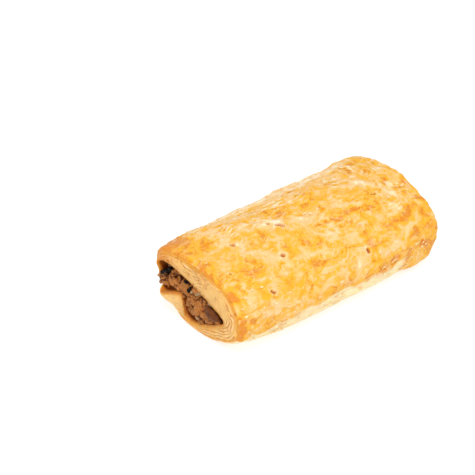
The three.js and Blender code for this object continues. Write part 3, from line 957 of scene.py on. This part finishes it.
def mouth_places(roll, rng, near, count, radius_range, depth_range):
    """Random places in a mouth: across the hollow, up between its floor and roof, and in by a depth."""
    places = []
    while len(places) < count:
        radius = rng.uniform(*radius_range)
        y = BORE_Y + rng.uniform(-0.97, 0.97) * roll.bore_half_width
        low, high = hollow_limits(roll, y)
        top = high - 0.35 * radius - rng.uniform(0, 2.5) - 4.0 * smoothstep(-3, -9, y)
        bottom = low + 0.5 * radius
        if top < bottom:
            continue
        z = rng.uniform(bottom, top)
        depth = rng.uniform(*depth_range) + max(0, (z - (high - 4)) * 0.4) + 0.35 * max(0, y - 14)
        places.append((in_mouth(roll, near, y, z, depth), radius))
    return places


# What shows in the near mouth: y, z, depth behind the mouth and three radii in mm, and a lump's tone
NEAR_LUMPS = (
    (15.0, 20.2, 2.4, (3.0, 4.7, 3.7), 0.44), (18.5, 20.6, 4.2, (2.6, 3.2, 2.8), 0.4),
    (12.0, 18.2, 2.4, (2.8, 3.6, 2.8), 0.42), (21.0, 17.8, 4.0, (2.4, 2.8, 2.2), 0.35),
    (10.0, 21.6, 3.0, (2.4, 2.8, 2.4), 0.3), (0.5, 16.2, 2.2, (2.6, 3.4, 2.8), 0.6),
    (24.2, 16.2, 2.0, (2.4, 2.4, 2.8), 0.35), (23.6, 19.6, 1.8, (2.0, 2.0, 2.2), 0.15),
    (21.4, 14.8, 2.2, (2.2, 2.6, 2.4), 0.6), (26.2, 17.2, 1.4, (2.0, 1.5, 2.0), 0.3),
    (26.0, 13.8, 1.6, (1.8, 1.4, 1.8), 0.5), (2.6, 12.6, 2.2, (2.2, 2.4, 2.8), 0.6),
    (1.2, 9.0, 2.2, (2.2, 2.6, 2.2), 0.5), (3.6, 17.4, 2.6, (2.2, 2.4, 2.2), 0.2),
    (-5.5, 15.2, 1.6, (3.0, 4.2, 3.6), 0.82), (-9.5, 12.6, 1.6, (2.8, 3.8, 3.2), 0.75),
    (-3.2, 11.2, 1.8, (2.6, 3.2, 3.0), 0.78), (-13.5, 11.8, 2.0, (2.6, 3.2, 2.6), 0.8),
    (-1.0, 19.4, 3.0, (2.4, 3.0, 2.4), 0.4), (-8.0, 18.6, 2.8, (2.4, 3.2, 2.2), 0.5),
)
NEAR_ONION = (
    (-2.3, 21.2, 1.4, (0.8, 1.9, 1.1)), (-4.6, 22.8, 1.4, (0.7, 1.3, 0.8)),
    (-6.9, 7.4, 1.2, (0.7, 2.2, 0.9)), (-3.6, 7.2, 1.2, (0.8, 1.8, 1.1)),
    (-13.2, 20.8, 1.8, (0.6, 1.9, 0.8)), (-0.2, 9.6, 1.2, (0.6, 1.4, 1.0)),
    (1.6, 20.0, 1.8, (0.7, 1.5, 0.9)), (-10.5, 8.6, 1.4, (0.6, 2.0, 0.7)),
)
NEAR_DARK = (
    (21.6, 22.2, 1.6, (1.2, 2.6, 1.3)), (24.4, 19.8, 0.6, (1.0, 1.3, 1.4)),
    (5.8, 24.4, 1.8, (1.2, 1.7, 1.3)), (3.5, 20.4, 1.6, (1.1, 1.4, 1.6)),
    (6.6, 21.0, 1.4, (1.0, 1.2, 1.4)), (1.6, 14.2, 1.6, (1.0, 1.0, 1.4)),
    (22.4, 16.6, 3.0, (0.9, 1.3, 1.0)), (19.0, 24.6, 1.8, (1.2, 2.2, 1.3)),
    # The bits at y -9.0 and -23.4 sit in the shaded gaps under the hollow's roof: dark bits put there as
    # painted shade
    (25.6, 16.0, 0.6, (0.9, 1.0, 1.6)), (-9.0, 21.6, 2.2, (0.9, 2.3, 1.1)),
    (-23.4, 17.6, 2.2, (0.8, 1.5, 1.2)),
)
NEAR_ORANGE = (
    (-7.0, 13.4, -0.5, (0.6, 1.6, 0.6)), (-17.6, 22.4, 1.6, (0.7, 1.0, 1.0)),
    (-9.4, 16.2, 0.0, (0.5, 1.2, 0.5)), (16.8, 24.8, 1.8, (0.7, 1.2, 0.8)),
    (-12.4, 8.8, 1.2, (0.6, 1.3, 0.6)),
)


def scattered(roll, rng, base, near, count, radii, depths, stretch, roughness, tones):
    """Lumps at random places of a mouth, each a ball with three random radii and a random tone."""
    for centre, radius in mouth_places(roll, rng, near, count, radii, depths):
        points, faces, light = rough_lump(base, rng, radius * rng.uniform(*stretch, 3), roughness)
        yield centre + points, faces, rng.uniform(*tones) + light


def build_mince(roll, rng, lumps, crumbs):
    """Lumps and crumbs of mince in both mouths, as one joined piece."""
    hero, middling, crumb = ball(3), ball(2), ball(1)
    shapes = []
    for y, z, depth, radii, tone in NEAR_LUMPS:
        points, faces, light = rough_lump(hero, rng, np.array(radii), 0.36)
        shapes.append((in_mouth(roll, True, y, z, depth) + points, faces, tone + light))
    for near in (True, False):
        shapes += scattered(
            roll, rng, middling, near, lumps, (1.5, 3.2), (1.6, 5.0), (0.7, 1.25), 0.38, (0.05, 0.9))
        shapes += scattered(
            roll, rng, crumb, near, crumbs, (0.5, 1.0), (0.4, 3.0), (0.6, 1.3), 0.3, (0.0, 1.1))
    points, faces, tones = join_pieces(shapes)
    return to_mesh("mince_lumps", roll, points, faces, {"tone": tones})


def build_bits(roll, rng, name, near_items, far_count, radius_range, roughness):
    """One kind of bit: those seen in the near mouth, and as many scattered in the far one."""
    base = ball(2)
    shapes = []
    for y, z, depth, radii in near_items:
        points, faces, light = rough_lump(base, rng, np.array(radii), roughness)
        shapes.append((in_mouth(roll, True, y, z, depth) + points, faces, rng.uniform(0, 1) + light))
    shapes += scattered(
        roll, rng, base, False, far_count, radius_range, (0.2, 2.2), (0.5, 1.4), roughness, (0, 1))
    points, faces, tones = join_pieces(shapes)
    return to_mesh(name, roll, points, faces, {"tone": tones})


SLICE_START = (-9.8, 18.8, 0.9)  # y, z and depth behind the mouth
SLICE_END = (-23.0, 15.4, 1.4)
SLICE_RADII = (3.1, 2.0)
SLICE_BOW = 1.2


def build_slice(roll):
    """The smooth slice: a pointed lens along a line in the near mouth, its section a flattened round."""
    rows, around = 25, 24
    share = np.linspace(0, 1, rows + 2)[1:-1, None]
    angle = np.linspace(0, 2 * np.pi, around, endpoint=False)[None, :]
    start, end = (in_mouth(roll, True, *place) for place in (SLICE_START, SLICE_END))
    spine = start + share[..., None] * (end - start)
    spine[..., 0] -= SLICE_BOW * np.sin(np.pi * share)
    girth = np.sin(np.pi * share) ** 0.75
    along = (end - start) / np.linalg.norm(end - start)
    rise = np.cross(along, (1.0, 0, 0))
    rise /= np.linalg.norm(rise)
    out = np.cross(along, rise)
    width = 1 + 0.1 * np.sin(3 * angle + 5 * share) + 0.05 * np.sin(14 * share + 2 * angle)
    tall, deep = SLICE_RADII
    section = tall * np.cos(angle)[..., None] * rise + deep * np.sin(angle)[..., None] * out
    grid = spine + (girth * width)[..., None] * section
    points = np.concatenate([start[None], grid.reshape(-1, 3), end[None]])
    tones = np.full(len(points), 0.5)
    return to_mesh("brown_slice", roll, points, capped_faces(rows, around), {"tone": tones})


# ---- Materials ----

def node(tree, kind, inputs=None, **settings):
    """A node with its settings, and its inputs set to values or linked to fields."""
    made = tree.nodes.new(kind)
    for key, value in settings.items():
        setattr(made, key, value)
    for key, value in (inputs or {}).items():
        if isinstance(value, Field):
            tree.links.new(value.socket, made.inputs[key])
        else:
            made.inputs[key].default_value = value
    return made


def field(tree, kind, inputs=None, output=0, **settings):
    """The output of a new node, as a field."""
    return Field(tree, node(tree, kind, inputs, **settings).outputs[output])


class Field:
    """A value or colour that changes over a surface: one output of a node, with sums as for numbers."""

    def __init__(self, tree, socket):
        self.tree, self.socket = tree, socket

    def maths(self, operation, other=0.0):
        return field(self.tree, "ShaderNodeMath", {0: self, 1: other}, operation=operation)

    def __add__(self, other):
        return self.maths("ADD", other)

    def __sub__(self, other):
        return self.maths("SUBTRACT", other)

    def __mul__(self, other):
        return self.maths("MULTIPLY", other)

    def ramp(self, low, high, out_low=0.0, out_high=1.0):
        """An S curve of the value, from out_low at low to out_high at high."""
        inputs = {0: self, 1: low, 2: high, 3: out_low, 4: out_high}
        return field(self.tree, "ShaderNodeMapRange", inputs, interpolation_type="SMOOTHSTEP")

    def mix(self, first, second):
        """A mix of two fields, with the value as the second one's share."""
        return field(self.tree, "ShaderNodeMix", {0: self, 2: first, 3: second})


def painted(base, coats):
    """A colour with coats laid over it in order, each a field of cover and a colour."""
    for cover, tint in coats:
        below, above = (c if isinstance(c, Field) else (*c, 1.0) for c in (base, tint))
        base = field(cover.tree, "ShaderNodeMix", {0: cover, 6: below, 7: above}, 2, data_type="RGBA")
    return base


def feed(target, fields):
    """Links fields to the inputs of a node by their names."""
    for key, value in fields.items():
        value.tree.links.new(value.socket, target.inputs[key])


def attribute(tree, name):
    """A value of each point of the mesh, by its name."""
    return field(tree, "ShaderNodeAttribute", output="Fac", attribute_name=name)


def object_noise(tree, scale, detail=2.0, distortion=0.0):
    """Noise on Object coordinates, with its scale in lumps to a metre."""
    place = field(tree, "ShaderNodeTexCoord", output="Object")
    inputs = {"Vector": place, "Scale": scale, "Detail": detail, "Distortion": distortion}
    return field(tree, "ShaderNodeTexNoise", inputs)


def vector_maths(tree, operation, inputs):
    """A sum of vectors."""
    return field(tree, "ShaderNodeVectorMath", inputs, operation=operation)


def new_group(name, inputs, outputs):
    """A shader node group with number inputs, given back as fields, and a node for its number outputs."""
    tree = bpy.data.node_groups.new(name, "ShaderNodeTree")
    for key, value in inputs.items():
        tree.interface.new_socket(key, in_out="INPUT", socket_type="NodeSocketFloat").default_value = value
    for key in outputs:
        tree.interface.new_socket(key, in_out="OUTPUT", socket_type="NodeSocketFloat")
    given = tree.nodes.new("NodeGroupInput")
    return tree, [Field(tree, given.outputs[key]) for key in inputs], tree.nodes.new("NodeGroupOutput")


GRAIN_SCALES = {"Blotch Scale": 220.0, "Web Scale": 300.0, "Grain Scale": 1300.0}
GRAIN_OUTPUTS = ("Blotches", "Web", "Height")


def grain_group():
    """Baked grain: blotches, a fine web of lines, and a height for a bump, each at its own scale."""
    if "baked grain" in bpy.data.node_groups:
        return bpy.data.node_groups["baked grain"]
    tree, scales, result = new_group("baked grain", GRAIN_SCALES, GRAIN_OUTPUTS)
    blotches = object_noise(tree, scales[0], 3.0, 0.4)
    web = (object_noise(tree, scales[1], 1.0, 1.1) - 0.5).maths("ABSOLUTE").ramp(0.05, 0.0)
    grain = object_noise(tree, scales[2])
    height = web * 0.55 + grain * 0.45 + blotches * 0.6
    feed(result, dict(zip(GRAIN_OUTPUTS, (blotches.ramp(0.32, 0.68), web, height))))
    return tree


def grain_fields(tree, *scales):
    """The blotches, web and height of the baked grain, at scales in lumps to a metre."""
    placed = node(tree, "ShaderNodeGroup", dict(zip(GRAIN_SCALES, scales)), node_tree=grain_group())
    return [Field(tree, placed.outputs[key]) for key in GRAIN_OUTPUTS]


# Labels, and scales along and around in lumps to a metre
WRINKLES = (("long wrinkles", 36.0, 210.0), ("ring wrinkles", 230.0, 45.0), ("short wrinkles", 110.0, 170.0))
WARP = 0.008  # metres that wrinkles wander


def wrinkle_group():
    """Wrinkles: wandering lines stretched along X or round it, as a ridge beside a groove."""
    tree, scales, result = new_group("wrinkles", {"Along": 55.0, "Around": 190.0}, ("Ridge", "Groove"))
    along, around = scales
    place = field(tree, "ShaderNodeTexCoord", output="Object")
    warp = field(tree, "ShaderNodeTexNoise", {"Vector": place, "Scale": 75.0, "Detail": 1.0}, "Color")
    warp = vector_maths(tree, "SUBTRACT", {0: warp, 1: (0.5, 0.5, 0.5)})
    warp = vector_maths(tree, "SCALE", {0: warp, "Scale": WARP})
    place = vector_maths(tree, "ADD", {0: place, 1: warp})
    stretch = field(tree, "ShaderNodeCombineXYZ", {0: along, 1: around, 2: around})
    place = vector_maths(tree, "MULTIPLY", {0: place, 1: stretch})
    level = field(tree, "ShaderNodeTexNoise", {"Vector": place, "Scale": 1.0, "Detail": 1.2})
    present = object_noise(tree, 110.0, 1.0).ramp(0.42, 0.6)
    for key, side in (("Ridge", 1), ("Groove", -1)):
        near, far = (level.ramp(0.5 + side * a, 0.5 + side * b) for a, b in ((0.0, 0.025), (0.1, 0.05)))
        feed(result, {key: near * far * present})
    return tree


def wrinkle_fields(tree, wrinkled, ringed):
    """Ridges and grooves: short wrinkles, and where the crust is drawn in, long ones or rings."""
    group = wrinkle_group()
    placed = [
        node(tree, "ShaderNodeGroup", {"Along": along, "Around": around}, node_tree=group, label=label)
        for label, along, around in WRINKLES
    ]
    for key in ("Ridge", "Groove"):
        long, ring, short = (Field(tree, made.outputs[key]) for made in placed)
        yield wrinkled.mix(short, ringed.mix(long, ring))


def new_material(name, slot_values):
    """A material with its shader, whose plain values are set straight on the shader's own sockets."""
    material = bpy.data.materials.new(name)
    material.use_nodes = True
    tree = material.node_tree
    shader = tree.nodes["Principled BSDF"]
    for key, value in slot_values.items():
        shader.inputs[key].default_value = value
    return material, tree, shader


def finish_shader(shader, base, roughness, height, strength, distance):
    """Feeds the shader its colour, its roughness and a bump."""
    bump_inputs = {"Height": height, "Strength": strength, "Distance": distance}
    normal = field(base.tree, "ShaderNodeBump", bump_inputs)
    feed(shader, {"Base Color": base, "Roughness": roughness, "Normal": normal})


CRUST_VALUES = {
    "Specular IOR Level": 0.22, "Subsurface Weight": 0.3,
    "Subsurface Radius": (1.0, 0.5, 0.2), "Subsurface Scale": 0.004,
}
FLAKE_VALUES = {"Specular IOR Level": 0.2, "Subsurface Weight": 0.2, "Subsurface Scale": 0.0006}
FILLING_VALUES = {
    "Coat Roughness": 0.18, "Specular IOR Level": 0.2, "Subsurface Weight": 0.05,
    "Subsurface Radius": (1.0, 0.4, 0.2), "Subsurface Scale": 0.0015,
}


def rim_colour(tree, look, blotches):
    """Layers of a rim: crests painted pale and gaps browned and painted in shade, dough soaked by the
    filling, painted shade at the edge of the hollow and where the flap meets the filling, and a browned
    outer edge.
    """
    layer, inner, depth, flap = (attribute(tree, name) for name in ("layer", "inner", "depth", "flap"))
    outer = depth.ramp(1.5, 0.3, 0.0, 0.7) * flap.ramp(0.4, 0.0)
    return painted(look.layer, (
        # Gaps and bubble cells get painted shade and the crests a painted highlight, besides the browned
        # gaps
        (layer.ramp(0.4, 0.08) * blotches.ramp(0, 1, 0.5, 1.0), look.layer_shade),
        (layer.ramp(0.72, 0.95) * blotches.ramp(1, 0, 0.1, 0.75), look.cream_and_painted_highlight),
        (inner.ramp(4.6, 0.6), look.soaked_dough_and_shade),
        # The flap keeps the soaked colour close to the filling: painted shade by the filling
        (flap * inner.ramp(0.6, 2.6), look.flap),
        # Dark at the very edge of the hollow: painted shade
        (inner.ramp(1.1, 0.1, 0.0, 0.7), look.holes_brown_and_shade),
        (depth.ramp(2.4, 0.4, 0.0, 0.8), look.orange),
        # Brown at the outer edge, and on the rim's back wall as browning and painted shade
        (outer.maths("MAXIMUM", attribute(tree, "scorched_and_shaded") * 0.8), look.brown),
    ))


def crust_material(look):
    """Baked crust: cream, gold, orange and brown by the browning, which holds painted light and shade;
    strip, rims and holes by masks.
    """
    material, tree, shader = new_material("baked crust", CRUST_VALUES)
    blotches, web, grain_height = grain_fields(tree, 210, 290, 1300)
    wrinkled = attribute(tree, "wrinkled")
    ridge, groove = wrinkle_fields(tree, wrinkled, attribute(tree, "ringed"))
    # Darker in the wrinkle grooves and paler on the raised web: painted shade and painted highlight
    browning_and_painted_light = attribute(tree, "browning_and_painted_light") + (blotches * 0.14 + BAKED) - web * 0.15 + groove * 0.24
    base = painted(look.cream_and_painted_highlight, (
        (browning_and_painted_light.ramp(0.0, 0.5), look.gold),
        (browning_and_painted_light.ramp(0.55, 1.0), look.orange),
        (browning_and_painted_light.ramp(1.0, 1.35), look.brown),
        # The raised web and the wrinkle ridges are painted pale: a painted highlight
        (web * 0.14, look.cream_and_painted_highlight),
        (ridge * wrinkled.ramp(0.1, 0.9, 0.22, 0.7), look.cream_and_painted_highlight),
        (attribute(tree, "strip"), look.strip),
        (attribute(tree, "under"), look.underside),
        (attribute(tree, "rim"), rim_colour(tree, look, blotches)),
        # The hollow's wall is painted in the dark hole colour: soaked dough and painted shade
        (attribute(tree, "bore"), look.holes_brown_and_shade),
        # Painted shade inside the pricked holes and the torn bubbles
        (attribute(tree, "holes_brown_and_shade"), look.holes_brown_and_shade),
    ))
    height = grain_height * 0.5 + ridge * 0.6 - groove * 0.4
    finish_shader(shader, base, browning_and_painted_light.ramp(0.1, 1.0, 0.6, 0.45), height, 0.6, 0.0007)
    return material


def flake_material(look):
    """Loose flakes: between the unglazed strip's colour and gold by each flake's tone."""
    material, tree, shader = new_material("pastry flakes", FLAKE_VALUES)
    blotches, _, grain_height = grain_fields(tree, 500, 700, 2200)
    coats = ((attribute(tree, "tone"), look.gold), (blotches.ramp(0.5, 1.0, 0.0, 0.25), look.gold))
    rough = blotches.ramp(0, 1, 0.45, 0.62)
    finish_shader(shader, painted(look.strip, coats), rough, grain_height, 0.4, 0.0002)
    return material


def filling_material(name, dark, mid, light, shine, grain_scales):
    """Moist filling: from dark to light by each lump's tone, which holds painted shade and highlight, and
    its own mottling, under a thin wet coat.
    """
    material, tree, shader = new_material(name, FILLING_VALUES)
    blotches, web, grain_height = grain_fields(tree, *grain_scales)
    tone = attribute(tree, "tone") + blotches * 0.7 + 0.12
    base = painted(dark, ((tone.ramp(0.05, 0.5), mid), (tone.ramp(0.5, 1.0), light), (web * 0.25, light)))
    feed(shader, {"Coat Weight": blotches.ramp(0, 1, 0.5 * shine, shine)})
    finish_shader(shader, base, tone.ramp(0.0, 1.0, 0.38, 0.6), grain_height, 0.9, 0.0008)
    return material


# ---- Operators ----

def shades(tint, *shares):
    """A colour made darker or lighter by each of some shares."""
    return [tuple(share * value for value in tint) for share in shares]


def made_roll():
    """The roll that the sidebar's sizes describe."""
    return Roll(bpy.context.scene.roll_form)


class PASTRY_OT_crust(bpy.types.Operator):
    """Add the crust with its rims, bore, folds and pricked holes"""
    bl_idname = "pastry.crust"
    bl_label = "Crust"

    def execute(self, context):
        piece = build_crust(made_roll(), context.scene.roll_form.relief)
        piece.data.materials.append(crust_material(context.scene.crust_look))
        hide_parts("pastry")
        return {"FINISHED"}


class PASTRY_OT_flakes(bpy.types.Operator):
    """Add the loose flakes of the crust"""
    bl_idname = "pastry.flakes"
    bl_label = "Flakes"

    def execute(self, context):
        look = context.scene.crust_look
        piece = build_flakes(made_roll(), look.flakes, look.seed)
        piece.data.materials.append(flake_material(look))
        return {"FINISHED"}


class PASTRY_OT_mince(bpy.types.Operator):
    """Add the heart of the filling and the lumps of mince in both mouths"""
    bl_idname = "pastry.mince"
    bl_label = "Mince"

    def execute(self, context):
        look = context.scene.filling_look
        roll = made_roll()
        rng = np.random.default_rng(context.scene.crust_look.seed + 1)
        colours = (look.mince_dark_and_shade, look.mince, look.mince_light_and_highlight)
        core = build_core(roll)
        core.data.materials.append(filling_material("packed mince", *colours, 0.2, (420, 600, 1500)))
        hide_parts("filling")
        lumps = build_mince(roll, rng, look.lumps, look.crumbs)
        lumps.data.materials.append(filling_material("minced meat", *colours, 0.1, (520, 700, 1700)))
        return {"FINISHED"}


class PASTRY_OT_bits(bpy.types.Operator):
    """Add the onion, the dark and orange bits and the smooth brown slice"""
    bl_idname = "pastry.bits"
    bl_label = "Bits in the filling"

    def execute(self, context):
        look = context.scene.filling_look
        roll = made_roll()
        rng = np.random.default_rng(context.scene.crust_look.seed + 2)
        # Name, colour, those in the near mouth, number and radii in the far one, roughness and shine
        kinds = (
            ("onion_bits", look.onion, NEAR_ONION, 12, (1.0, 1.8), 0.25, 0.5),
            ("dark_bits", look.dark, NEAR_DARK, 9, (1.0, 1.9), 0.45, 0.08),
            ("orange_bits", look.orange, NEAR_ORANGE, 7, (0.7, 1.3), 0.22, 0.5),
        )
        for name, tint, near_items, far_count, radii, roughness, shine in kinds:
            piece = build_bits(roll, rng, name, near_items, far_count, radii, roughness)
            # Darker and lighter copies of the colour: these also carry the bits' painted shade in pits and
            # painted highlight on swellings, besides their own tone
            tints = shades(tint, 0.45, 0.9, 1.1)
            label = name.replace("_", " ")
            piece.data.materials.append(filling_material(label, *tints, shine, (700, 800, 1800)))
        piece = build_slice(roll)
        tints = shades(look.slice, 0.5, 1.0, 1.7)
        piece.data.materials.append(filling_material("brown slice", *tints, 0.15, (260, 500, 1500)))
        return {"FINISHED"}


class PASTRY_OT_stage(bpy.types.Operator):
    """Add the pale floor, the plain surround, the soft lamp and the camera"""
    bl_idname = "pastry.stage"
    bl_label = "Stage"

    def execute(self, context):
        scene, look = context.scene, context.scene.stage_look
        scene.view_settings.view_transform = "Standard"
        world = bpy.data.worlds.new("plain surround")
        scene.world = world
        world.use_nodes = True
        background = world.node_tree.nodes["Background"]
        background.inputs["Color"].default_value = (1, 1, 1, 1)
        background.inputs["Strength"].default_value = look.surround

        far = FLOOR_HALF
        mesh = bpy.data.meshes.new("floor")
        corners = [(-far, -far, 0), (far, -far, 0), (far, far, 0), (-far, far, 0)]
        mesh.from_pydata(corners, [], [(0, 1, 2, 3)])
        floor = linked("floor", mesh)
        material, _, _ = new_material("pale floor", {
            "Base Color": (*look.floor, 1), "Roughness": 0.7,
            "Emission Color": (1, 1, 1, 1), "Emission Strength": FLOOR_GLOW,
        })
        mesh.materials.append(material)

        lamp_data = bpy.data.lights.new("soft lamp", "AREA")
        lamp_data.shape = "DISK"
        lamp_data.size = LAMP_SIZE
        lamp_data.energy = look.lamp
        lamp = linked("soft lamp", lamp_data)
        lamp.location = LAMP_PLACE
        lamp.rotation_euler = (-lamp.location).to_track_quat("-Z", "Y").to_euler()

        azimuth, elevation = np.radians((look.azimuth, look.elevation))
        flat = np.cos(elevation)
        back = Vector((np.sin(azimuth) * flat, -np.cos(azimuth) * flat, np.sin(elevation)))
        camera_data = bpy.data.cameras.new("camera")
        camera_data.sensor_width = SENSOR_WIDTH
        camera_data.lens = look.lens
        camera_data.clip_start = NEAREST_SEEN
        camera = linked("camera", camera_data)
        camera.location = Vector(look.aim) + back * look.distance
        camera.rotation_euler = back.to_track_quat("Z", "Y").to_euler()
        scene.camera = camera
        return {"FINISHED"}


OPERATORS = (PASTRY_OT_crust, PASTRY_OT_flakes, PASTRY_OT_mince, PASTRY_OT_bits, PASTRY_OT_stage)
GROUPS = {
    "roll_form": RollForm, "crust_look": CrustLook, "filling_look": FillingLook, "stage_look": StageLook,
}


class PASTRY_PT_roll(bpy.types.Panel):
    """Sizes, colours and pieces of the pastry roll"""
    bl_label = "Pastry Roll"
    bl_idname = "PASTRY_PT_roll"
    bl_space_type = "VIEW_3D"
    bl_region_type = "UI"
    bl_category = "Pastry Roll"

    def draw(self, context):
        for key, kind in GROUPS.items():
            box = self.layout.box()
            box.label(text=key.replace("_", " ").capitalize())
            for name in kind.__annotations__:
                box.prop(getattr(context.scene, key), name)
        for operator in OPERATORS:
            self.layout.operator(operator.bl_idname)


CLASSES = (*GROUPS.values(), *OPERATORS, PASTRY_PT_roll)


def register():
    for kind in CLASSES:
        bpy.utils.register_class(kind)
    for key, kind in GROUPS.items():
        setattr(bpy.types.Scene, key, PointerProperty(type=kind))


def unregister():
    for key in GROUPS:
        delattr(bpy.types.Scene, key)
    for kind in reversed(CLASSES):
        bpy.utils.unregister_class(kind)


def main():
    register()
    bpy.ops.pastry.crust()
    bpy.ops.pastry.flakes()
    bpy.ops.pastry.mince()
    bpy.ops.pastry.bits()
    bpy.ops.pastry.stage()


if __name__ == "__main__":
    main()
